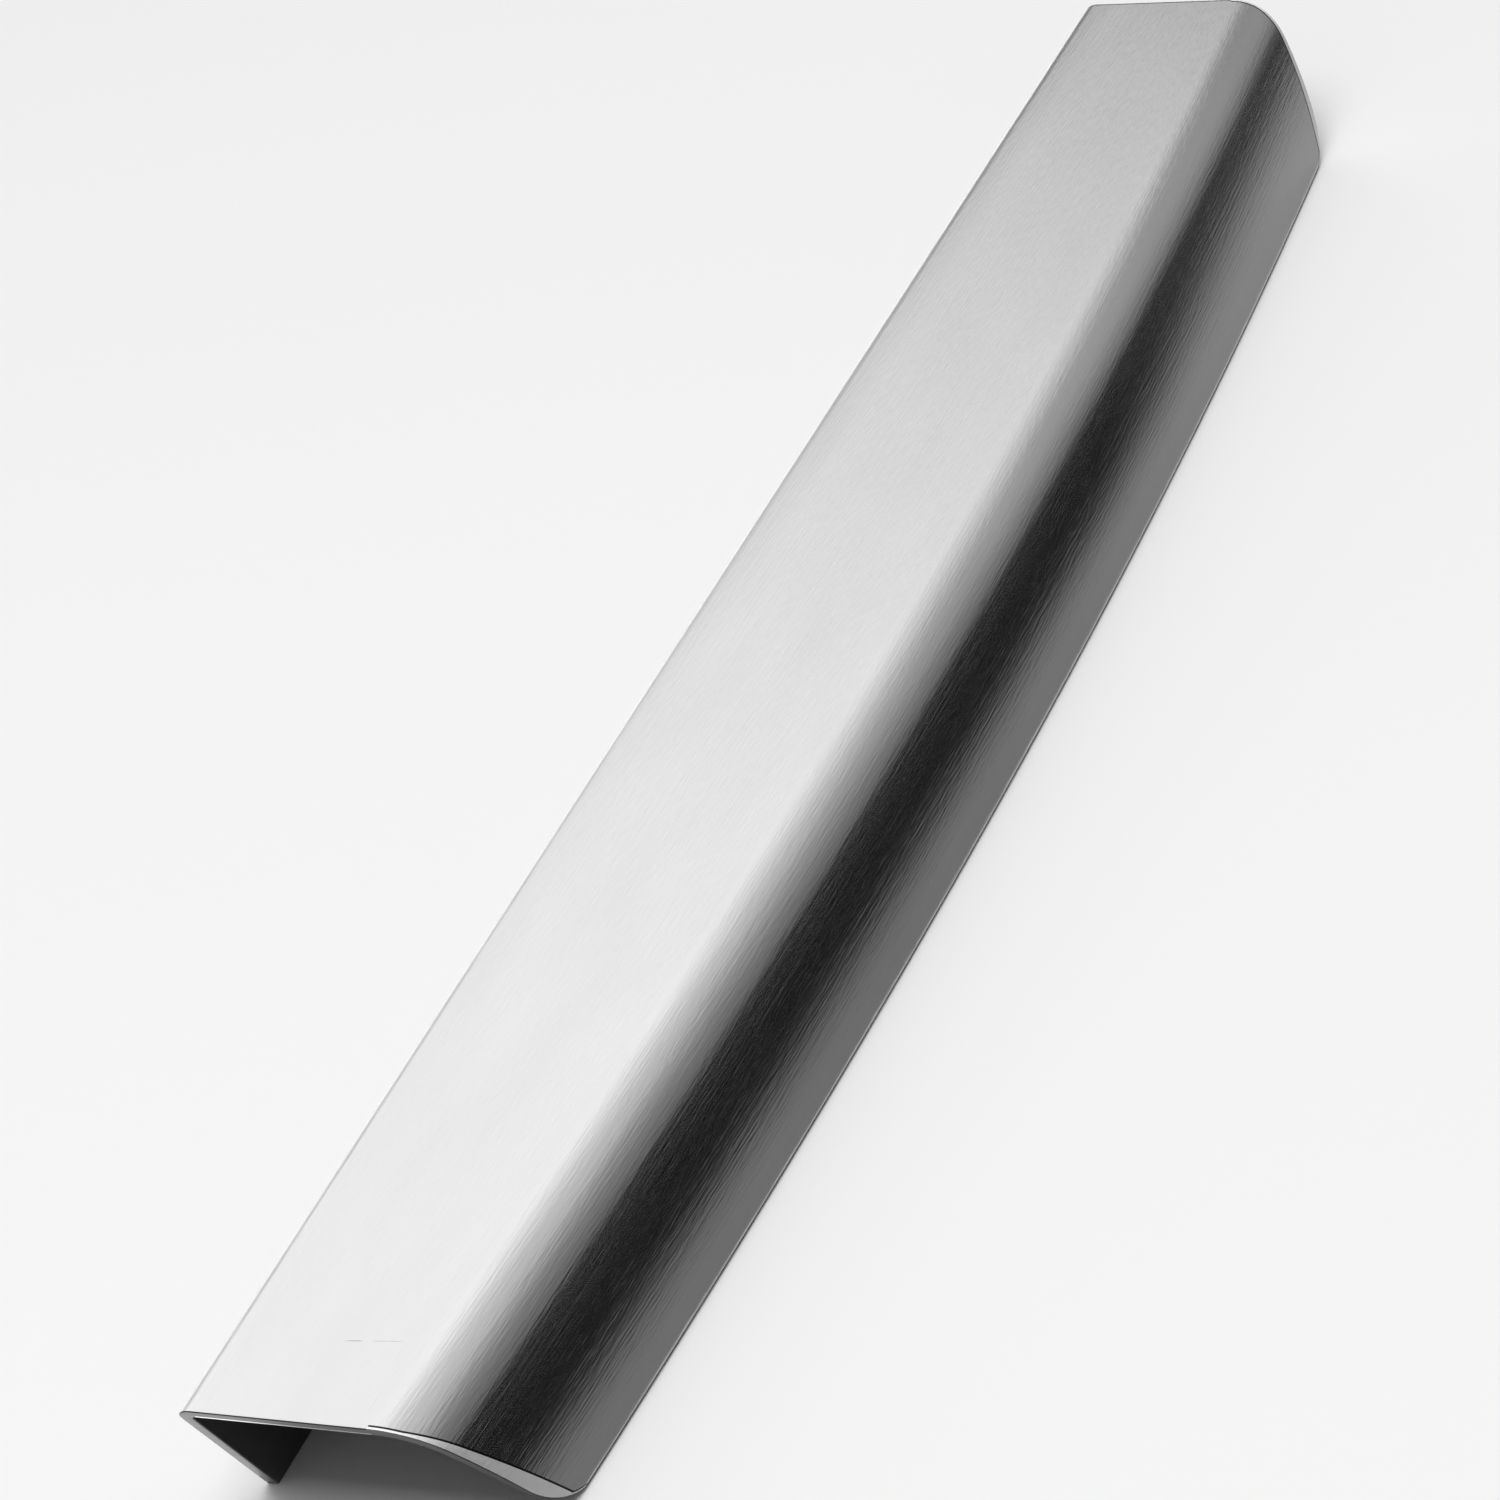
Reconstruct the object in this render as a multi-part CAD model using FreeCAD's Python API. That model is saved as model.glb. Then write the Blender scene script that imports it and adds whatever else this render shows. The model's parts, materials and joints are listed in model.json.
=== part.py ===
import FreeCAD, Part
import math
import os

# A finger pull bent from one sheet of brushed steel. A flange folded down along the straight back
# edge screws to the rear of a door or drawer front. The flat plate lies on the front's top edge.
# The front edge bows outward, and bends down into a gently curved lip that the fingers pull on.
# Millimetres. X runs from the back to the lip, Y along the length, Z up. The origin is under the
# middle of the pull, on the surface that it stands on.

# Sheet and overall size
LENGTH = 320.0
SHEET = 1.6
HEIGHT = 21.5

# Back bend, at the top of the flange
BACK_BEND_RADIUS = 0.8

# Front edge, in the section at the middle of the length: the bend turns down to BEND_ANGLE, and
# the lip goes on from there to the foot on a larger radius. Both radii are on the outside.
PLATE_DEPTH = 30.7
BOW = 5.7
BEND_ANGLE = 63.0
BEND_RADIUS = 9.2
LIP_RADIUS = 60.0

# Ends, cut at a slant so that the flange and the lip are shorter than the plate
END_SLANT = 26.5
LIP_CORNER_RADIUS = 12.0
FLANGE_CORNER_RADIUS = 0.6

# Shallow facets ground on the outside of the lip's ends, from nothing at the bend's start
FACET_SLANT = 29.5
FACET_SWING = 5.7
FACET_TILT = 7.5

# Countersunk screw holes in the flange, one near each end
HOLE_FROM_END = 32.0
HOLE_RADIUS = 2.1
COUNTERSINK_RADIUS = 3.0
HOLE_HEIGHT = 10.0

# How far a cutting shape reaches past the metal
CLEAR = 5.0

NODE = "finger_pull_profile"


def at(x, y, z):
    return FreeCAD.Vector(x, y, z)


def radial(degrees):
    """The direction in the section plane at an angle from upright, leaning to the front."""
    turn = math.radians(degrees)
    return at(math.sin(turn), 0, math.cos(turn))


def arc(centre, radius, start, end):
    """An arc in the section plane between two angles from upright."""
    points = [centre + radial(angle) * radius for angle in (start, (start + end) / 2, end)]
    return Part.Arc(*points)


def line(start, end):
    return Part.LineSegment(start, end)


def face_of(curves):
    return Part.Face(Part.Wire([curve.toShape() for curve in curves]))


BEND_CENTRE = at(PLATE_DEPTH, 0, HEIGHT - BEND_RADIUS)
LIP_CENTRE = BEND_CENTRE + radial(BEND_ANGLE) * (BEND_RADIUS - LIP_RADIUS)

# The lip's inner edge stands on the floor, and the middle of the part is half way to its outer edge
FOOT_ANGLE = math.degrees(math.acos(-LIP_CENTRE.z / (LIP_RADIUS - SHEET)))
OUTER_FOOT = LIP_CENTRE + radial(FOOT_ANGLE) * LIP_RADIUS
INNER_FOOT = LIP_CENTRE + radial(FOOT_ANGLE) * (LIP_RADIUS - SHEET)
MIDDLE_X = OUTER_FOOT.x / 2

BOW_RADIUS = ((LENGTH / 2) ** 2 + BOW ** 2) / (2 * BOW)


def front_edge(inset):
    """The bend and the lip in the section, this far inside the outer surface."""
    return [
        arc(BEND_CENTRE, BEND_RADIUS - inset, 0, BEND_ANGLE),
        arc(LIP_CENTRE, LIP_RADIUS - inset, BEND_ANGLE, FOOT_ANGLE),
    ]


def sheet_section():
    """The plate, the bend and the lip as a strip of sheet, seen along the length."""
    top, under = HEIGHT, HEIGHT - SHEET
    back_x = -BOW - CLEAR
    inner_bend, inner_lip = front_edge(SHEET)
    return face_of([
        line(at(back_x, 0, top), at(PLATE_DEPTH, 0, top)),
        *front_edge(0),
        line(OUTER_FOOT, INNER_FOOT),
        inner_lip,
        inner_bend,
        line(at(PLATE_DEPTH, 0, under), at(back_x, 0, under)),
        line(at(back_x, 0, under), at(back_x, 0, top)),
    ])


def filled_section():
    """Everything under the outer surface, down past the lip's foot."""
    along_lip = radial(FOOT_ANGLE + 90)
    below = OUTER_FOOT + along_lip * (2 * CLEAR)
    back_x = -BOW - CLEAR
    return face_of([
        line(at(back_x, 0, HEIGHT), at(PLATE_DEPTH, 0, HEIGHT)),
        *front_edge(0),
        line(OUTER_FOOT, below),
        line(below, at(back_x, 0, below.z)),
        line(at(back_x, 0, below.z), at(back_x, 0, HEIGHT)),
    ])


def turned(section):
    """The section at mid length turned about a far upright axis, so that its front is an arc."""
    axis = at(PLATE_DEPTH - BOW_RADIUS, 0, 0)
    upright = at(0, 0, 1)
    half_turn = math.degrees(math.asin((LENGTH / 2 + 2 * CLEAR) / BOW_RADIUS))
    section.rotate(axis, upright, -half_turn)
    return section.revolve(axis, upright, 2 * half_turn)


def bowed_front():
    """The plate, the bend and the lip along the bowed front, up to the straight back bend."""
    behind = Part.makeBox(BOW + 8 * CLEAR, 2 * LENGTH, 2 * HEIGHT)
    behind.translate(at(SHEET + BACK_BEND_RADIUS - BOW - 8 * CLEAR, -LENGTH, 0))
    return turned(sheet_section()).cut(behind)


def back_flange():
    """The upright flange and its tight bend, along the straight back edge."""
    outer = SHEET + BACK_BEND_RADIUS
    centre = at(outer, 0, HEIGHT - outer)
    section = face_of([
        line(at(0, 0, 0), at(0, 0, centre.z)),
        arc(centre, outer, -90, 0),
        line(at(outer, 0, HEIGHT), at(outer, 0, HEIGHT - SHEET)),
        arc(centre, BACK_BEND_RADIUS, 0, -90),
        line(at(SHEET, 0, centre.z), at(SHEET, 0, 0)),
        line(at(SHEET, 0, 0), at(0, 0, 0)),
    ])
    section.translate(at(0, -LENGTH / 2 - CLEAR, 0))
    return section.extrude(at(0, LENGTH + 2 * CLEAR, 0))


def between_ends(corner_radius):
    """The space between the two slanted end cuts, with rounded lower corners."""
    slant = math.radians(END_SLANT)
    up_slope = at(0, math.sin(slant), math.cos(slant))
    corner = at(-CLEAR, LENGTH / 2 - HEIGHT * math.tan(slant), 0)
    top = corner + up_slope * ((HEIGHT + CLEAR) / math.cos(slant))
    reach = corner_radius * math.tan((math.pi / 2 - slant) / 2)
    on_floor = corner - at(0, reach, 0)
    on_slope = corner + up_slope * reach
    centre = on_floor + at(0, 0, corner_radius)
    middle = centre + (corner - centre).normalize() * corner_radius

    def mirrored(point):
        return at(point.x, -point.y, point.z)

    outline = face_of([
        line(mirrored(on_floor), on_floor),
        Part.Arc(on_floor, middle, on_slope),
        line(on_slope, top),
        line(top, mirrored(top)),
        line(mirrored(top), mirrored(on_slope)),
        Part.Arc(mirrored(on_slope), mirrored(middle), mirrored(on_floor)),
    ])
    return outline.extrude(at(PLATE_DEPTH + 2 * HEIGHT, 0, 0))


def facet_waste(side):
    """What the facet at one end takes off: all past a skewed plane and outside a slanted skin.

    The plane passes through the bend's start in the plate's end edge. The skin runs on from where
    the plane meets the outer surface, tilted inward, so the facet widens along the bend and lip.
    """
    swing = math.tan(math.radians(FACET_SWING))
    lean = math.tan(math.radians(FACET_SLANT))
    outward = at(swing, side, -lean).normalize()
    width = 6 * HEIGHT
    plane = Part.makePlane(width, width, at(-width / 2, -width / 2, 0))
    bend_start = at(PLATE_DEPTH - BOW, side * LENGTH / 2, HEIGHT)
    plane.Placement = FreeCAD.Placement(bend_start, FreeCAD.Rotation(at(0, 0, 1), outward))
    under_skin = turned(filled_section()).common(plane)
    inward = math.asin(LENGTH / 2 / BOW_RADIUS) + math.radians(FACET_TILT)
    run = at(-math.sin(inward), side * math.cos(inward), 0) * (2 * CLEAR)
    return plane.extrude(outward * CLEAR).cut(under_skin.extrude(run))


def screw_hole(y):
    """A hole through the flange, countersunk from behind."""
    start = at(-CLEAR, y, HOLE_HEIGHT)
    forward = at(1, 0, 0)
    drill = Part.makeCylinder(HOLE_RADIUS, SHEET + 2 * CLEAR, start, forward)
    depth = COUNTERSINK_RADIUS - HOLE_RADIUS + CLEAR
    return drill.fuse(Part.makeCone(COUNTERSINK_RADIUS + CLEAR, HOLE_RADIUS, depth, start, forward))


def finger_pull():
    front = bowed_front().common(between_ends(LIP_CORNER_RADIUS))
    back = back_flange().common(between_ends(FLANGE_CORNER_RADIUS))
    pull = front.fuse(back).removeSplitter()
    for side in (-1, 1):
        pull = pull.cut(facet_waste(side))
        pull = pull.cut(screw_hole(side * (LENGTH / 2 - HOLE_FROM_END)))
    pull.translate(at(-MIDDLE_X, 0, 0))
    return pull.Solids[0]


os.makedirs("parts", exist_ok=True)
pull = finger_pull()
pull.exportStep("parts/" + NODE + ".step")
print(NODE, "valid", pull.isValid(), "volume in cubic mm", round(pull.Volume, 1))
print("depth", round(OUTER_FOOT.x, 3), "lip's slope at the foot", round(FOOT_ANGLE, 2))
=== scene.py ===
import json
import math
import bmesh
import bpy
from mathutils import Matrix, Vector


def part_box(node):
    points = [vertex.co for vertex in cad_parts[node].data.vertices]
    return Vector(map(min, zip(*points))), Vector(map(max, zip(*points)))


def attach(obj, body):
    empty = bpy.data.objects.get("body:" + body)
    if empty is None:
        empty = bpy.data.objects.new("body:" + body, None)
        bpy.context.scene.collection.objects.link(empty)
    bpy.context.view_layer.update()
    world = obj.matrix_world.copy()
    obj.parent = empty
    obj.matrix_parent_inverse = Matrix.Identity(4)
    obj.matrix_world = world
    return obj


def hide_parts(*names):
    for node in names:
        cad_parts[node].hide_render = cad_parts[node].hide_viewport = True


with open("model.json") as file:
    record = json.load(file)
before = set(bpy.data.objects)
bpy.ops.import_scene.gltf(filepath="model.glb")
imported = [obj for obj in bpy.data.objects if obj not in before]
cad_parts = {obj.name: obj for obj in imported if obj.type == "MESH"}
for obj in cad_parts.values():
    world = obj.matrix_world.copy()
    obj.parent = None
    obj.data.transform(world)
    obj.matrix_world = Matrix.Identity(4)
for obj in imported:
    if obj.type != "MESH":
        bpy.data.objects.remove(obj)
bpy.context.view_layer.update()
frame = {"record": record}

# A finger pull bent from one sheet of brushed steel, on a pale studio floor. Metres, in the frame
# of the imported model: X from the back to the lip, Y along the length, Z up from the floor.

MM = 0.001
NODE = "finger_pull_profile"

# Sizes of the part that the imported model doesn't state
SHEET = 1.6 * MM
BACK_BEND_RADIUS = 0.8 * MM
PLATE_DEPTH = 30.7 * MM
BOW = 5.7 * MM
BEND_ANGLE = 63.0
BEND_RADIUS = 9.2 * MM
LIP_RADIUS = 60.0 * MM
END_SLANT = 26.5
LIP_CORNER_RADIUS = 12.0 * MM
FLANGE_CORNER_RADIUS = 0.6 * MM
FACET_SLANT = 29.5
FACET_SWING = 5.7
FACET_TILT = 7.5

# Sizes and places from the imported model
LOW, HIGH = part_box(NODE)
LENGTH = HIGH[1] - LOW[1]
HEIGHT = HIGH[2] - LOW[2]
BACK_X = LOW[0]
SCREWS = next(mount for mount in frame["record"]["mounts"] if mount["kind"] == "bolt_pattern")
HOLE_HEIGHT = SCREWS["pos_m"][2]
HOLE_RADIUS = SCREWS["dims"]["hole_r_mm"] * MM
HOLE_Y = SCREWS["dims"]["spacing_x_mm"] * MM / 2
COUNTERSINK_RADIUS = 3.0 * MM

# Softening of the cut edges, and of the corners along the two feet, in so many faces each
EDGE = 0.15 * MM
FOOT_EDGE = 0.2 * MM
SOFT_STEPS = 3

# Edges that turn by more degrees than this look sharp
SHARP_FROM = 35.0

# Painted light along the cut edges: a bright strip of painted highlight along the lower edge of the
# plate's cut end, and near-black lines of painted shade along the plate's end and beside the
# facet's shoulder
PAINTED_HIGHLIGHT_STRIP = 0.27 * MM
END_LINE = 0.3 * MM
SHOULDER_LINE = 0.3 * MM

# Fineness of the mesh across the section
BACK_BEND_STEPS = 6
PLATE_STEPS = 6
BEND_STEPS = 30
LIP_STEPS = 16
CORNER_STEPS = 12
FLANGE_START = 2 * MM
ROWS_BELOW_PATCH = 2
# The lip's rows end this many degrees before the row that its foot starts from
LAST_ROW_GAP = 0.1

# Fineness of the mesh along the length. The columns up to the fixed span are the same in all rows,
# and there is a patch of small cells round each screw hole.
SPAN_STEPS = 22
FIXED_SPAN = 136 * MM
APPROACH_STEPS = 3
HOLE_PATCH = 5 * MM
HOLE_CELLS = 8


def radial(degrees):
    """The direction (x, z) in the section plane at an angle from upright, leaning to the front."""
    turn = math.radians(degrees)
    return Vector((math.sin(turn), math.cos(turn)))


def spread(start, end, steps):
    """Evenly spaced values from the start to the end."""
    return [start + (end - start) * i / steps for i in range(steps + 1)]


BACK_BEND_END = SHEET + BACK_BEND_RADIUS
BEND_CENTRE = Vector((PLATE_DEPTH, HEIGHT - BEND_RADIUS))
LIP_CENTRE = BEND_CENTRE + radial(BEND_ANGLE) * (BEND_RADIUS - LIP_RADIUS)
LIP_INNER_RADIUS = LIP_RADIUS - SHEET
FOOT_ANGLE = math.degrees(math.acos(-LIP_CENTRE.y / LIP_INNER_RADIUS))
BOW_RADIUS = ((LENGTH / 2) ** 2 + BOW ** 2) / (2 * BOW)
BOW_AXIS = PLATE_DEPTH - BOW_RADIUS
FACET_RUN = math.tan(math.asin(LENGTH / 2 / BOW_RADIUS) + math.radians(FACET_TILT))


def bowed(x, y):
    """How far forward a point of the section at mid length lies, at a place along the length."""
    front = max(x, PLATE_DEPTH)
    bowed_front = BOW_AXIS + math.sqrt((front - BOW_AXIS) ** 2 - y ** 2)
    share = (x - BACK_BEND_END) / (PLATE_DEPTH - BACK_BEND_END)
    if share >= 1:
        return bowed_front
    return x + max(share, 0) * (bowed_front - PLATE_DEPTH)


def end_at(x, z):
    """How far the end cut is from mid length: slanted, with a rounded corner at the foot."""
    slant = math.radians(END_SLANT)
    radius = FLANGE_CORNER_RADIUS if x <= BACK_BEND_END else LIP_CORNER_RADIUS
    reach = radius * math.tan((math.pi / 2 - slant) / 2)
    if z >= reach * math.cos(slant):
        return LENGTH / 2 - (HEIGHT - z) * math.tan(slant)
    low_end = LENGTH / 2 - HEIGHT * math.tan(slant) - reach
    return low_end + math.sqrt(max(radius ** 2 - (radius - z) ** 2, 0))


def outer_front(z):
    """The outer surface of the bend and the lip at a height, in the section at mid length."""
    centre, radius = BEND_CENTRE, BEND_RADIUS
    if z < BEND_CENTRE.y + radial(BEND_ANGLE).y * BEND_RADIUS:
        centre, radius = LIP_CENTRE, LIP_RADIUS
    return centre.x + math.sqrt(max(radius ** 2 - (z - centre.y) ** 2, 0))


def shoulder_at(z):
    """Where the facet starts on the outer surface at a height: (x, distance from mid length).

    The shoulder is a plane's cut through the bowed surface, found by repeated closer tries.
    """
    y = end_at(PLATE_DEPTH, z)
    for _ in range(6):
        x = bowed(outer_front(z), y)
        y = (LENGTH / 2 - math.tan(math.radians(FACET_SLANT)) * (HEIGHT - z)
             - math.tan(math.radians(FACET_SWING)) * (x - PLATE_DEPTH + BOW))
    return x, y


def surface(x, z, y):
    """A point of the part from its place in the section and its distance from mid length."""
    forward = bowed(x, y)
    if x >= PLATE_DEPTH:
        shoulder_x, shoulder_y = shoulder_at(z)
        if abs(y) > shoulder_y:
            forward = min(forward, shoulder_x - (abs(y) - shoulder_y) * FACET_RUN)
    return Vector((BACK_X + forward, y, z))


def softened(start, corner, end):
    """The points of the curve that softens a corner, from past the start to the end."""
    centre = start + end - corner
    turns = spread(0, math.pi / 2, SOFT_STEPS)[1:]
    return [centre + (start - centre) * math.cos(turn) + (end - centre) * math.sin(turn)
            for turn in turns]


def section_pairs():
    """Pairs of points (outer, inner) in the section, from the flange's foot to the lip's foot."""
    bend_centre = Vector((BACK_BEND_END, HEIGHT - BACK_BEND_END))
    patch_top = HOLE_HEIGHT + HOLE_PATCH
    heights = [FOOT_EDGE, FLANGE_START, *spread(HOLE_HEIGHT - HOLE_PATCH, patch_top, HOLE_CELLS),
               (patch_top + bend_centre.y) / 2]
    pairs = [(Vector((0, z)), Vector((SHEET, z))) for z in heights]
    for angle in spread(-90, 0, BACK_BEND_STEPS):
        pairs.append((bend_centre + radial(angle) * BACK_BEND_END,
                      bend_centre + radial(angle) * BACK_BEND_RADIUS))
    for x in spread(BACK_BEND_END, PLATE_DEPTH, PLATE_STEPS)[1:-1]:
        pairs.append((Vector((x, HEIGHT)), Vector((x, HEIGHT - SHEET))))
    for angle in spread(0, BEND_ANGLE, BEND_STEPS):
        pairs.append((BEND_CENTRE + radial(angle) * BEND_RADIUS,
                      BEND_CENTRE + radial(angle) * (BEND_RADIUS - SHEET)))

    # The lip's rows are even down to its rounded corners, and closer round them
    corner_top = LIP_CORNER_RADIUS * (1 - math.sin(math.radians(END_SLANT)))
    top = LIP_CENTRE.y + radial(BEND_ANGLE).y * LIP_INNER_RADIUS
    heights = spread(top, corner_top, LIP_STEPS)[1:]
    for turn in spread(math.radians(90 - END_SLANT), 0, CORNER_STEPS)[1:-1]:
        heights.append(LIP_CORNER_RADIUS * (1 - math.cos(turn)))
    angles = [math.degrees(math.acos((z - LIP_CENTRE.y) / LIP_INNER_RADIUS)) for z in heights]
    last = FOOT_ANGLE - math.degrees(FOOT_EDGE / LIP_RADIUS)
    for angle in [angle for angle in angles if angle < last - LAST_ROW_GAP] + [last]:
        pairs.append((LIP_CENTRE + radial(angle) * LIP_RADIUS,
                      LIP_CENTRE + radial(angle) * LIP_INNER_RADIUS))
    return pairs


def foot_points(outer, inner, outer_corner, inner_corner):
    """The foot of the flange or the lip, from beside the outer corner to beside the inner one."""
    across = (inner_corner - outer_corner).normalized() * FOOT_EDGE
    return (softened(outer, outer_corner, outer_corner + across)
            + softened(inner, inner_corner, inner_corner - across)[::-1])


def inward(loop):
    """Unit vectors in the section that point into the sheet, one at each point of the loop."""
    result = []
    for i, _ in enumerate(loop):
        along = loop[(i + 1) % len(loop)] - loop[i - 1]
        result.append(Vector((along.y, -along.x)).normalized())
    return result


def flat_distances(loop, pairs):
    """How far each point of the loop is from the flange's foot, measured across the flat sheet."""
    across = [0.0]
    for (outer, inner), (next_outer, next_inner) in zip(pairs, pairs[1:]):
        step = (next_outer + next_inner) / 2 - (outer + inner) / 2
        across.append(across[-1] + step.length)
    foot = (len(loop) - 2 * len(pairs)) // 2
    return across + [across[-1]] * foot + across[::-1] + [0.0] * foot


class PullMesh:
    """The pull as one closed mesh, with the kind of surface that each face belongs to.

    Rows of vertices run along the length, one row for each point of the loop round the section.
    The loop goes over the outer side, round the lip's foot, back along the inner side and round
    the flange's foot.
    """

    def __init__(self):
        self.vertices, self.uvs, self.faces, self.kinds = [], [], [], []
        self.pairs = section_pairs()
        lip_corners = [LIP_CENTRE + radial(FOOT_ANGLE) * r for r in (LIP_RADIUS, LIP_INNER_RADIUS)]
        flange_corners = [Vector((0, 0)), Vector((SHEET, 0))]
        self.lip_foot = foot_points(*self.pairs[-1], *lip_corners)
        self.flange_foot = foot_points(*self.pairs[0], *flange_corners)[::-1]
        self.loop = ([outer for outer, _ in self.pairs] + self.lip_foot
                     + [inner for _, inner in self.pairs[::-1]] + self.flange_foot)
        self.first_inner = len(self.pairs) + len(self.lip_foot)

        patch = spread(HOLE_Y - HOLE_PATCH, HOLE_Y + HOLE_PATCH, HOLE_CELLS)
        side = spread(0, patch[0], SPAN_STEPS)[1:] + patch[1:] + [FIXED_SPAN]
        self.columns = [-y for y in side[::-1]] + [0.0] + side

        self.add_rows()
        self.in_patches = set()
        for sign in (-1, 1):
            self.add_hole(sign)
        self.add_sides()
        self.add_ends()

    def add_face(self, corners, kind):
        self.faces.append(corners)
        self.kinds.append(kind)

    def add_rows(self):
        """The vertices of all rows, each from one end cap to the other."""
        self.rows = []
        flat = flat_distances(self.loop, self.pairs)
        for i, (point, into) in enumerate(zip(self.loop, inward(self.loop))):
            row = (self.towards_end(i, into, -1)[::-1]
                   + [surface(*point, y) for y in self.columns] + self.towards_end(i, into, 1))
            self.rows.append(range(len(self.vertices), len(self.vertices) + len(row)))
            self.vertices += row
            self.uvs += [(flat[i], place.y) for place in row]

    def towards_end(self, i, into, sign):
        """The points of a row from its last column that is fixed to the end cap."""
        point = self.loop[i]
        cap = point + into * EDGE
        end = end_at(*point)
        edge = end - EDGE
        line = edge - END_LINE
        if i < len(self.pairs) and point.x > PLATE_DEPTH:
            line = min(line, shoulder_at(point.y)[1])
        approach = spread(FIXED_SPAN, line - SHOULDER_LINE, APPROACH_STEPS)[1:] + [line, edge]
        places = [surface(*point, sign * y) for y in approach]
        corner = surface(*point, sign * end)
        on_cap = surface(*cap, sign * end_at(*cap))
        return places + softened(places[-1], corner, on_cap)

    def add_hole(self, sign):
        """A countersunk screw hole through the flange, joined to the cells round it."""
        outside_rows = range(ROWS_BELOW_PATCH, ROWS_BELOW_PATCH + HOLE_CELLS + 1)
        inside_rows = [self.first_inner + len(self.pairs) - 1 - i for i in outside_rows]
        before = (len(self.rows[0]) - len(self.columns)) // 2
        in_patch = [before + j for j, y in enumerate(self.columns)
                    if abs(y - sign * HOLE_Y) < HOLE_PATCH * 1.001]
        left, right = in_patch[0], in_patch[-1]
        rings = []
        for numbers in (outside_rows, inside_rows):
            around = [(numbers[0], j) for j in range(left, right)]
            around += [(i, right) for i in numbers[:-1]]
            around += [(numbers[-1], j) for j in range(right, left, -1)]
            around += [(i, left) for i in numbers[:0:-1]]
            rings.append([self.rows[i][j] for i, j in around])
            lowest = min(numbers)
            self.in_patches.update((i, j) for i in range(lowest, lowest + HOLE_CELLS)
                                   for j in range(left, right))
        soft = EDGE / 2
        profile = [(COUNTERSINK_RADIUS + soft, 0), (COUNTERSINK_RADIUS - soft, soft),
                   (HOLE_RADIUS, COUNTERSINK_RADIUS - HOLE_RADIUS),
                   (HOLE_RADIUS, SHEET - soft), (HOLE_RADIUS + soft, SHEET)]
        centre = Vector((BACK_X, sign * HOLE_Y, HOLE_HEIGHT))
        circles = []
        for radius, depth in profile:
            circles.append(range(len(self.vertices), len(self.vertices) + len(rings[0])))
            for corner in rings[0]:
                out = (self.vertices[corner] - centre).normalized()
                place = centre + out * radius + Vector((depth, 0, 0))
                self.vertices.append(place)
                self.uvs.append((place.z, place.y))
        chain = [rings[0]] + circles + [rings[1]]
        kinds = ["outside"] + ["cut"] * (len(profile) - 1) + ["inside"]
        for ring, following, kind in zip(chain, chain[1:], kinds):
            for k, _ in enumerate(ring):
                after = (k + 1) % len(ring)
                self.add_face((ring[k], following[k], following[after], ring[after]), kind)

    def kind_at(self, i, from_end):
        """The kind of the face between a row and the next, this many faces from the end."""
        last = len(self.pairs) - 1
        outer = i < last
        foot = last <= i < self.first_inner or i >= self.first_inner + last
        outer_foot_corner = last <= i < last + SOFT_STEPS
        at_end = from_end < SOFT_STEPS
        past_bend_start = self.loop[i].x >= PLATE_DEPTH
        # Painted shade: near-black faces on the plate's rounded end edges and on the lip's outer
        # foot corner
        if outer_foot_corner or at_end and outer and not past_bend_start:
            return "dark line"
        if foot or at_end:
            return "cut"
        # Beside the facet's shoulder, a line of painted shade
        if outer and past_bend_start and from_end <= SOFT_STEPS + 1:
            return "facet" if from_end == SOFT_STEPS else "dark line"
        return "outside" if outer else "inside"

    def add_sides(self):
        """The faces between the rows, all round the section."""
        width = len(self.rows[0])
        for i, this in enumerate(self.rows):
            following = self.rows[(i + 1) % len(self.rows)]
            for j in range(width - 1):
                if (i, j) not in self.in_patches:
                    corners = (this[j], following[j], following[j + 1], this[j + 1])
                    self.add_face(corners, self.kind_at(i, min(j, width - 2 - j)))

    def add_ends(self):
        """The two end caps, each with a line of vertices that marks off its strip of painted
        highlight.
        """
        last = len(self.pairs) - 1
        for column in (0, -1):
            ends = [row[column] for row in self.rows]
            outer = ends[:len(self.pairs)]
            inner = ends[self.first_inner:][:len(self.pairs)][::-1]
            strip = []
            for far, near in zip(outer, inner):
                across = (self.vertices[far] - self.vertices[near]).normalized() * PAINTED_HIGHLIGHT_STRIP
                strip.append(len(self.vertices))
                self.vertices.append(self.vertices[near] + across)
                self.uvs.append(self.uvs[near])
            caps = [((*ends[last:self.first_inner + 1], strip[last]), "cut"),
                    ((*ends[-len(self.flange_foot) - 1:], ends[0], strip[0]), "cut")]
            for k in range(last):
                start, end = self.pairs[k][0].x, self.pairs[k + 1][0].x
                on_plate = BACK_BEND_END <= start and end <= PLATE_DEPTH + 1e-9
                caps.append(((outer[k], outer[k + 1], strip[k + 1], strip[k]), "cut"))
                # On the plate, the faces between that line and the inner side are a painted
                # highlight
                caps.append(((strip[k], strip[k + 1], inner[k + 1], inner[k]),
                             "strip" if on_plate else "cut"))
            for corners, kind in caps:
                self.add_face(corners[::-1] if column else corners, kind)


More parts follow.
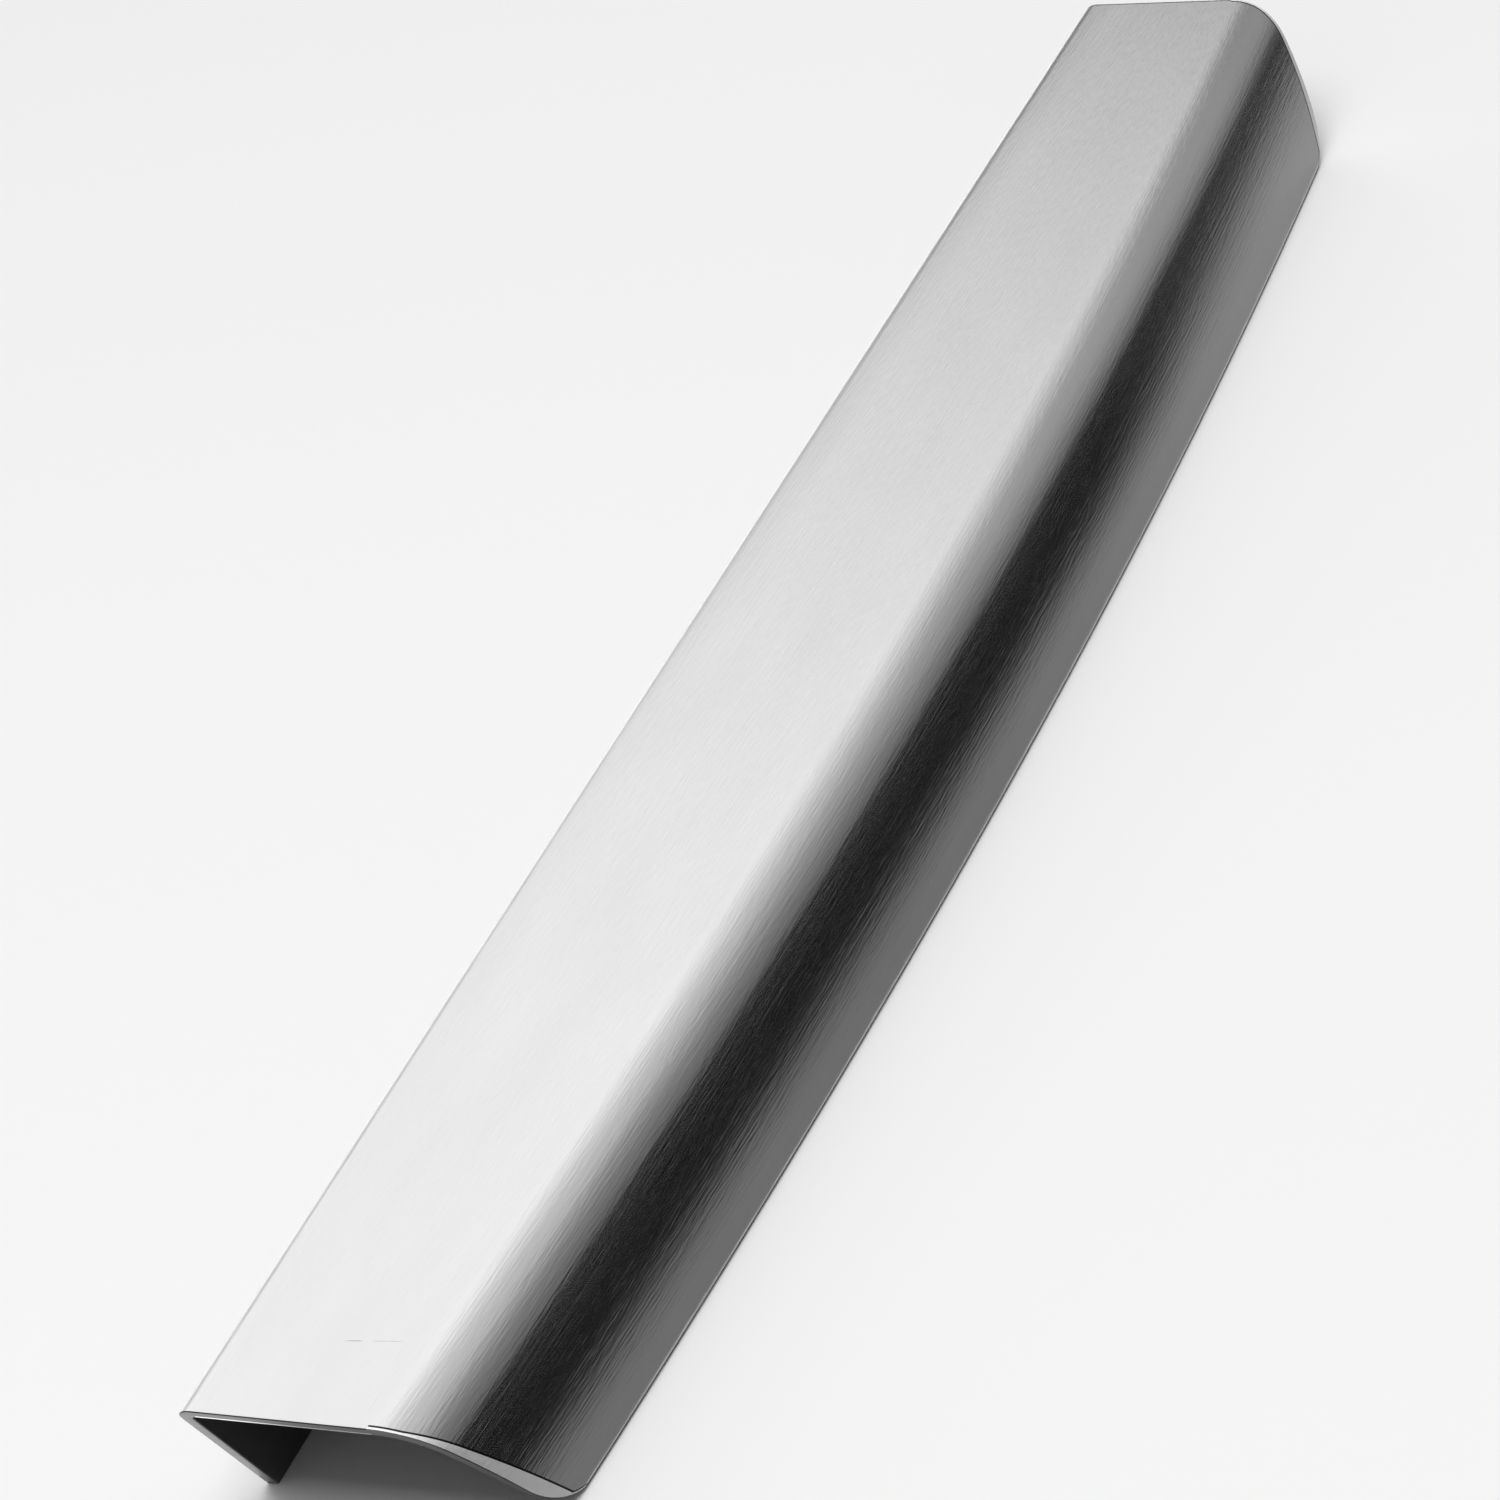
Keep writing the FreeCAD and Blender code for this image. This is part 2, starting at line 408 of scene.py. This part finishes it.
class Shading:
    """Adds shader nodes to the node tree of one material or of the world."""

    def __init__(self, tree):
        self.nodes, self.links = tree.nodes, tree.links

    def fill(self, node, inputs):
        for name, value in inputs.items():
            if isinstance(value, bpy.types.NodeSocket):
                self.links.new(value, node.inputs[name])
            else:
                node.inputs[name].default_value = value

    def add(self, kind, inputs, **settings):
        node = self.nodes.new("ShaderNode" + kind)
        for name, value in settings.items():
            setattr(node, name, value)
        self.fill(node, inputs)
        return node

    def math(self, operation, *values):
        return self.add("Math", dict(enumerate(values)), operation=operation).outputs[0]

    def step(self, value, low, high, before, after):
        """A smooth change from one value to another."""
        inputs = {"Value": value, "From Min": low, "From Max": high,
                  "To Min": before, "To Max": after}
        return self.add("MapRange", inputs, interpolation_type="SMOOTHSTEP").outputs["Result"]

    def grey(self, tone):
        return self.add("CombineColor", {i: tone for i in range(3)}).outputs[0]

    def spaced(self, place, across, along):
        """A place on the sheet counted in cells, so many to a millimetre across and along it."""
        cells = (across / MM, along / MM, 1)
        return self.add("VectorMath", {0: place, 1: cells}, operation="MULTIPLY").outputs[0]

    def noise(self, place, across, along, detail):
        """Noise from 0 to 1 in such cells."""
        inputs = {"Vector": self.spaced(place, across, along), "Scale": 1.0, "Detail": detail}
        return self.add("TexNoise", inputs).outputs[0]

    def mixed(self, first, first_share, second, second_share):
        """The sum of a share of one value and a share of another."""
        second_part = self.math("MULTIPLY", second, second_share)
        return self.math("MULTIPLY_ADD", first, first_share, second_part)

    def varied(self, value, noise, amount):
        """A value that noise raises and lowers by up to about this share of it."""
        around = self.math("SUBTRACT", noise, 0.5)
        return self.math("MULTIPLY_ADD", around, 2 * amount * value, value)


# A faint scratch across the plate near one end: its middle on the flat sheet, half its length and
# width, and its turn from straight across. It is broken once, at a place from its middle and for
# so much to each side, and takes less of the metal's lightness past the break.
SCRATCH_MIDDLE = (42.0 * MM, -146.3 * MM, 0.0)
SCRATCH_LENGTH = 4.6 * MM
SCRATCH_WIDTH = 0.08 * MM
SCRATCH_TURN = math.radians(5)
SCRATCH_BREAK = -0.9 * MM
SCRATCH_GAP = 0.6 * MM
SCRATCH_TAKES = 0.55
FAINT_SCRATCH_TAKES = 0.28

# Tiny specks in cells: so many cells to a millimetre each way, a speck's radius counted in cells,
# and how much of the lightness it takes
SPECK_CELLS = 0.06
SPECK_RADIUS = 0.006
SPECK_TAKES = 0.2


def marks(shading, place, grooves):
    """The share of the metal's lightness that is left in the scratch and in the specks."""
    inputs = {"Vector": place, "Location": SCRATCH_MIDDLE, "Rotation": (0, 0, SCRATCH_TURN)}
    turned = shading.add("Mapping", inputs, vector_type="TEXTURE").outputs[0]
    local = shading.add("SeparateXYZ", {0: turned}).outputs
    along = shading.math("ABSOLUTE", local["X"])
    aside = shading.math("ABSOLUTE", local["Y"])
    from_break = shading.math("ABSOLUTE", shading.math("SUBTRACT", local["X"], SCRATCH_BREAK))
    scratch = shading.step(along, SCRATCH_LENGTH * 0.7, SCRATCH_LENGTH, 1.0, 0.0)
    for share in (shading.step(aside, SCRATCH_WIDTH / 2, SCRATCH_WIDTH, 1.0, 0.0),
                  shading.step(from_break, SCRATCH_GAP, 2 * SCRATCH_GAP, 0.0, 1.0),
                  shading.step(local["X"], -2 * MM, 1 * MM, SCRATCH_TAKES, FAINT_SCRATCH_TAKES),
                  shading.step(grooves, 0.3, 0.5, 0.5, 1.0)):
        scratch = shading.math("MULTIPLY", scratch, share)
    cells = shading.spaced(place, SPECK_CELLS, SPECK_CELLS)
    dots = shading.add("TexVoronoi", {"Vector": cells, "Scale": 1.0}).outputs["Distance"]
    specks = shading.step(dots, SPECK_RADIUS, 2 * SPECK_RADIUS, SPECK_TAKES, 0.0)
    return shading.math("SUBTRACT", 1.0, shading.math("MAXIMUM", scratch, specks))


# The pull's surfaces: the material's name, its lightness, its roughness, how far the roughness is
# drawn out along the grooves, the grooves to a millimetre across and along the sheet, and the
# depth of the grooves and the grain in metres
FACES = {
    "outside": ("brushed_steel", 0.48, 0.20, 0.5, 2.6, 0.05, 5.5e-5),
    # The inner side is much darker than the outer steel: a rougher dull finish, and painted shade
    "inside": ("dull_steel", 0.13, 0.5, 0.0, 3.0, 0.3, 3e-5),
    # The facet is much lighter than the steel it is ground from: partly its own ground finish,
    # partly painted highlight
    "facet": ("ground_facet", 0.95, 0.7, 0.0, 2.0, 1.0, 8e-5),
    # Near-black painted shade along the plate's end edges, the facet's shoulder and the lip's outer
    # foot corner
    "dark line": ("dark_line", 0.03, 0.4, 0.0, 2.0, 1.0, 1e-5),
    "cut": ("cut_edge", 0.17, 0.45, 0.0, 1.0, 3.0, 5e-5),
    # A painted highlight: a bright strip along the lower edge of the plate's cut end
    "strip": ("cut_strip", 0.9, 0.35, 0.0, 1.0, 3.0, 1e-5),
}
LIGHTNESS_VARIES = 0.06
ROUGHNESS_VARIES = 0.15

# The fine grain and the faint clouds, so many to a millimetre across and along the sheet
GRAIN = (4.0, 0.35)
CLOUDS = (0.12, 0.04)


def steel(name, tone, roughness, anisotropic, across, along, relief, marked):
    """Metal with grooves, a fine grain and faint clouds, and with the marks on the outer side."""
    material = bpy.data.materials.new(name)
    material.use_nodes = True
    shading = Shading(material.node_tree)
    place = shading.add("UVMap", {}, uv_map="flat_sheet").outputs["UV"]
    grooves = shading.noise(place, across, along, 2.0)
    grain = shading.noise(place, *GRAIN, 1.0)
    clouds = shading.noise(place, *CLOUDS, 1.0)
    height = shading.mixed(grain, 0.4, grooves, 0.5)
    lightness = shading.varied(tone, shading.mixed(clouds, 0.6, grain, 0.4), LIGHTNESS_VARIES)
    if marked:
        lightness = shading.math("MULTIPLY", lightness, marks(shading, place, grooves))
    bump = shading.add("Bump", {"Height": height, "Strength": 1.0, "Distance": relief})
    tangent = shading.add("Tangent", {}, direction_type="UV_MAP", uv_map="flat_sheet")
    shading.fill(material.node_tree.nodes["Principled BSDF"], {
        "Base Color": shading.grey(lightness), "Metallic": 1.0,
        "Roughness": shading.varied(roughness, grooves, ROUGHNESS_VARIES),
        "Anisotropic": anisotropic, "Tangent": tangent.outputs["Tangent"],
        "Normal": bump.outputs["Normal"]})
    return material


def add_object(name, data):
    added = bpy.data.objects.new(name, data)
    bpy.context.scene.collection.objects.link(added)
    return added


built = PullMesh()
mesh = bpy.data.meshes.new("finger_pull")
mesh.from_pydata(built.vertices, [], built.faces)
shape = bmesh.new()
shape.from_mesh(mesh)
bmesh.ops.recalc_face_normals(shape, faces=shape.faces)
shape.to_mesh(mesh)
shape.free()
layer = mesh.uv_layers.new(name="flat_sheet")
for polygon in mesh.polygons:
    polygon.use_smooth = True
    polygon.material_index = list(FACES).index(built.kinds[polygon.index])
    for corner in polygon.loop_indices:
        layer.data[corner].uv = built.uvs[mesh.loops[corner].vertex_index]
mesh.set_sharp_from_angle(angle=math.radians(SHARP_FROM))
for kind, settings in FACES.items():
    mesh.materials.append(steel(*settings, marked=kind == "outside"))
pull = add_object("finger_pull", mesh)
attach(pull, "root")
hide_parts(NODE)


def flat(name, rows):
    """A flat stage object from rows of points, each with texture coordinates in metres."""
    width = len(rows[0])
    corners = [corner for row in rows for corner in row]
    quads = [(i * width + j, i * width + j + 1, (i + 1) * width + j + 1, (i + 1) * width + j)
             for i in range(len(rows) - 1) for j in range(width - 1)]
    mesh = bpy.data.meshes.new(name)
    mesh.from_pydata([corner[:3] for corner in corners], [], quads)
    layer = mesh.uv_layers.new(name="place")
    for loop in mesh.loops:
        layer.data[loop.index].uv = corners[loop.vertex_index][3:]
    return add_object(name, mesh)


def matt(name, tone):
    material = bpy.data.materials.new(name)
    material.use_nodes = True
    shader = material.node_tree.nodes["Principled BSDF"]
    shader.inputs["Base Color"].default_value = (tone, tone, tone, 1)
    shader.inputs["Roughness"].default_value = 0.9
    shader.inputs["Specular IOR Level"].default_value = 0.0
    return material


# Floor
FLOOR = 15.0
FLOOR_TONE = 0.92
floor = flat("floor", [[(x, y, 0, x, y) for x in (-FLOOR, FLOOR)] for y in (-FLOOR, FLOOR)])
floor.data.materials.append(matt("pale_floor", FLOOR_TONE))

# Two cards flat on the floor, seen only in reflections
CARD_HEIGHT = 0.3 * MM

# A graded card in front of the lip. It follows the lip's bowed foot, and its texture coordinates
# are the distance in front of the foot and the place along the length. It is lightest beside the
# foot, and dark from its reach on. Its lightness and its reach both grow between two places along
# the length.
CARD = 2.0
CARD_BOWED = 0.2
CARD_STEPS = 40
CARD_GAP = 0.5 * MM
LIGHTEST_TO = 5 * MM
LIGHTNESS_GROWS = (-50 * MM, 200 * MM, 0.345, 0.55)
REACH_GROWS = (70 * MM, 240 * MM, 38 * MM, 98 * MM)
card_rows = []
bowed_span = spread(-CARD_BOWED, CARD_BOWED, CARD_STEPS)
for y in [-CARD, -2 * CARD_BOWED, *bowed_span, 2 * CARD_BOWED, CARD]:
    bow_back = BOW_RADIUS - math.sqrt(BOW_RADIUS ** 2 - min(abs(y), CARD_BOWED) ** 2)
    card_rows.append([(HIGH[0] - bow_back + ahead, y, CARD_HEIGHT, ahead, y)
                      for ahead in (CARD_GAP, CARD)])
card = flat("graded_card", card_rows)
paint = matt("graded_card", 0.5)
shading = Shading(paint.node_tree)
place = shading.add("UVMap", {}, uv_map="place").outputs["UV"]
place = shading.add("SeparateXYZ", {0: place}).outputs
lightest = shading.step(place["Y"], *LIGHTNESS_GROWS)
reach = shading.step(place["Y"], *REACH_GROWS)
tone = shading.math("MULTIPLY", lightest, shading.step(place["X"], LIGHTEST_TO, reach, 1.0, 0.0))
shading.fill(paint.node_tree.nodes["Principled BSDF"], {"Base Color": shading.grey(tone)})
card.data.materials.append(paint)

# A lit card behind the flange
LIT_CARD = 0.5
LIT_GAP = 1 * MM
LIT_STRENGTH = 1.5
lit = matt("lit_card", 0.0)
shader = lit.node_tree.nodes["Principled BSDF"]
shader.inputs["Emission Color"].default_value = (1, 1, 1, 1)
shader.inputs["Emission Strength"].default_value = LIT_STRENGTH
back = flat("lit_card", [[(BACK_X - away, y, CARD_HEIGHT, BACK_X - away, y)
                          for away in (LIT_CARD, LIT_GAP)] for y in (-LIT_CARD, LIT_CARD)])
back.data.materials.append(lit)
for reflected in (card, back):
    reflected.visible_camera = reflected.visible_diffuse = reflected.visible_shadow = False


def direction(azimuth, elevation):
    """The direction of a light; azimuth 0 is towards +Y and grows towards +X."""
    turn, rise = math.radians(azimuth), math.radians(elevation)
    level = math.cos(rise)
    return Vector((math.sin(turn) * level, math.cos(turn) * level, math.sin(rise)))


# A softbox high over the near end, with its azimuth and elevation, and its power in watts
SOFTBOX = (180, 75)
SOFTBOX_DISTANCE = 2.0
SOFTBOX_SIZE = 1.4
SOFTBOX_POWER = 23
lamp_data = bpy.data.lights.new("overhead", "AREA")
lamp_data.size, lamp_data.energy = SOFTBOX_SIZE, SOFTBOX_POWER
lamp = add_object("overhead", lamp_data)
lamp.location = direction(*SOFTBOX) * SOFTBOX_DISTANCE
lamp.rotation_euler = direction(*SOFTBOX).to_track_quat("Z", "Y").to_euler()

# The studio around the part, seen in the steel: soft glows in the dark, each with its azimuth and
# elevation, the radius of its even part and the width of its soft edge in degrees, and its strength
MAIN_GLOWS = [
    (-41, 43, 7, 33, 1.73),
    (21, 52, 0, 46, 0.77),
]
OTHER_GLOWS = [
    (-64, 6, 20, 14, 0.9),
    (42, 41, 31, 8, 0.268),
    (24, 24, 2, 16, 0.09),
    (26, 0, 2, 8, 0.08),
    (105, 12, 18, 20, 0.35),
    (180, 40, 10, 50, 0.35),
]
# The main glows are dimmed on the lower side of a tilted plane, which has this normal
EDGE_PLANE = (-0.371, -0.543, 0.753)
EDGE_SOFTNESS = 0.03
DIMMED = 0.61
# The strength of the dark between the glows, and of the backdrop that the camera sees
DARK = 0.015
PALE = 0.85

world = bpy.data.worlds.new("studio")
bpy.context.scene.world = world
world.use_nodes = True
shading = Shading(world.node_tree)
seen = shading.add("TexCoord", {}).outputs["Generated"]


def towards(vector):
    """The cosine of the angle between a fixed direction and the one that is seen."""
    inputs = {0: seen, 1: vector}
    return shading.add("VectorMath", inputs, operation="DOT_PRODUCT").outputs["Value"]


def sum_of(glows):
    total = 0.0
    for azimuth, elevation, radius, edge, strength in glows:
        angle = shading.math("ARCCOSINE", towards(direction(azimuth, elevation)))
        start, end = math.radians(radius), math.radians(radius + edge)
        total = shading.math("ADD", shading.step(angle, start, end, strength, 0.0), total)
    return total


dimming = shading.step(towards(EDGE_PLANE), -EDGE_SOFTNESS, EDGE_SOFTNESS, DIMMED, 1.0)
total = shading.math("MULTIPLY", sum_of(MAIN_GLOWS), dimming)
total = shading.math("ADD", total, shading.math("ADD", sum_of(OTHER_GLOWS), DARK))
by_camera = shading.add("LightPath", {}).outputs["Is Camera Ray"]
total = shading.add("Mix", {"Factor": by_camera, "A": total, "B": PALE}).outputs["Result"]
shading.fill(world.node_tree.nodes["Background"], {"Color": (1, 1, 1, 1), "Strength": total})

# Camera
CAMERA_AIM = Vector((-16.66, -8.78, 1.65)) * MM
CAMERA_DISTANCE = 692.6 * MM
CAMERA_AZIMUTH = 31.06
CAMERA_ELEVATION = 33.10
CAMERA_ROLL = -16.32
CAMERA_LENS = 123.77
SENSOR_WIDTH = 36

turn, rise, roll = (math.radians(a) for a in (CAMERA_AZIMUTH, CAMERA_ELEVATION, CAMERA_ROLL))
level = math.cos(rise)
forward = Vector((-math.sin(turn) * level, math.cos(turn) * level, -math.sin(rise)))
level_right = forward.cross(Vector((0, 0, 1))).normalized()
level_up = level_right.cross(forward)
right = level_right * math.cos(roll) + level_up * math.sin(roll)
up = right.cross(forward)
camera_data = bpy.data.cameras.new("camera")
camera_data.lens = CAMERA_LENS
camera_data.sensor_width = SENSOR_WIDTH
camera = add_object("camera", camera_data)
placed = Matrix((right, up, -forward)).transposed().to_4x4()
placed.translation = CAMERA_AIM - forward * CAMERA_DISTANCE
camera.matrix_world = placed
bpy.context.scene.camera = camera
bpy.context.scene.view_settings.view_transform = "Standard"

bpy.context.view_layer.update()
